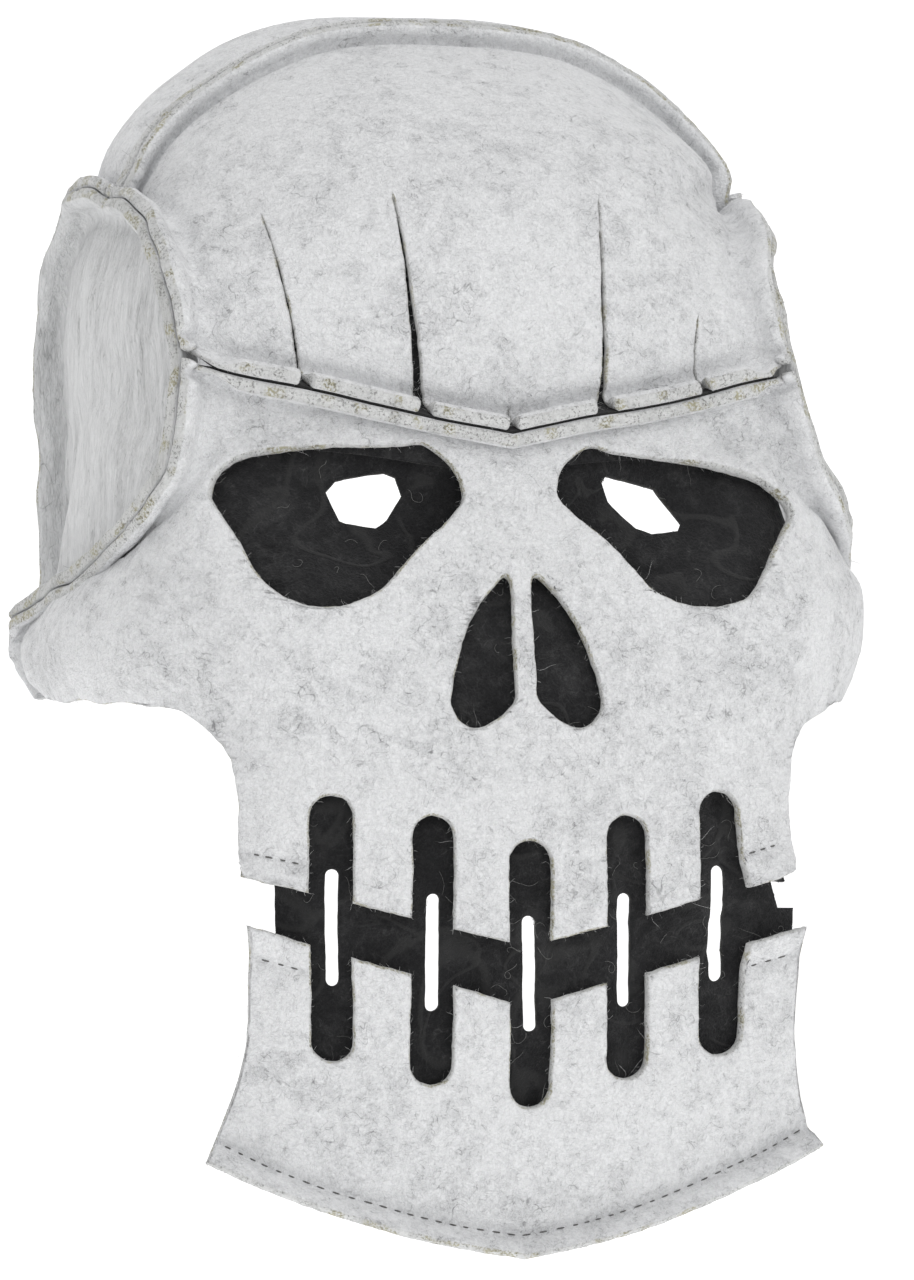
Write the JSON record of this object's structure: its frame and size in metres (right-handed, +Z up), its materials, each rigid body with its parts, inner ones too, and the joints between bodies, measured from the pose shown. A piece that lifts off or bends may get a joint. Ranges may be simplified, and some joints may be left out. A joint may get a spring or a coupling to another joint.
{
  "type": "skull mask",
  "caption": "Hooded skull mask of thick wool felt with turned-out seams, cut eyes, nose and teeth over a thin black lining.",
  "frame": {"origin": "where the mask sits on the head: the inner face of the crown, on the middle plane", "axes": "+Z up, the face looks toward -Y, +X to the wearer's left"},
  "size_m": [0.1935, 0.212, 0.2918],
  "materials": {
    "light_felt": "thick mottled light grey wool felt, raw cut edges",
    "black_felt": "thin black felt"
  },
  "bodies": {
    "root": {"face_panel": "light_felt", "jaw_panel": "light_felt", "forehead_panel": "light_felt", "crown_panel": "light_felt", "side_panel_left": "light_felt", "side_panel_right": "light_felt", "face_lining": "black_felt", "forehead_lining": "black_felt"}
  },
  "joints": []
}
